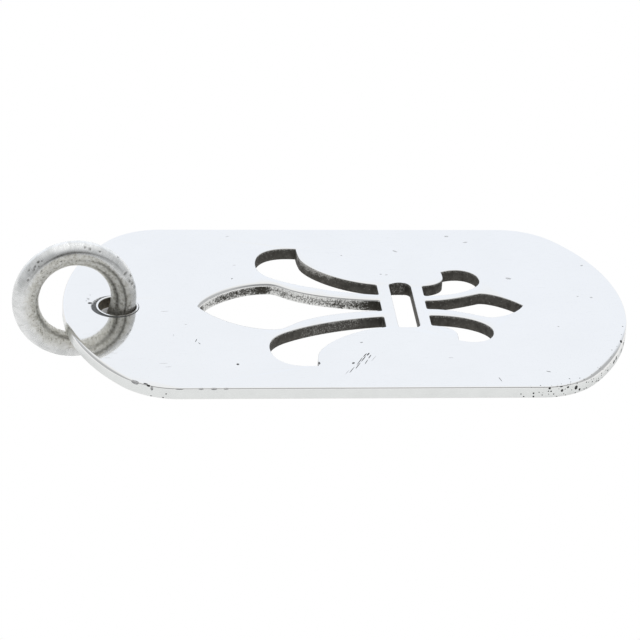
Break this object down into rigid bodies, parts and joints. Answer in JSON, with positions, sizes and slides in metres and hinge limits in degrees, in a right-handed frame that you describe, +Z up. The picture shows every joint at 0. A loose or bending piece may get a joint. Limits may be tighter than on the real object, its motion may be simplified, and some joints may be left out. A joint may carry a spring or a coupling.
{
  "type": "dog tag pendant",
  "caption": "Flat silver tag with blunt rounded ends and a pierced lily ornament, carried on a thick round jump ring.",
  "frame": {"origin": "on the table, under the middle of the whole pendant as it lies with its ring standing up", "axes": "+Z up from the table, +X from the ring along the tag to its far end, +Y across the tag"},
  "size_m": [0.0542, 0.0284, 0.0108],
  "materials": {
    "polished_silver": "mirror-polished silver with fine scratches, small pits along the rim and dark oxide in the cut-outs",
    "worn_silver": "worn silver wire, polished on the outside, grey-brown tarnish and casting grain on the inside"
  },
  "bodies": {
    "root": {"tag_plate": "polished_silver", "jump_ring": "worn_silver"}
  },
  "joints": []
}
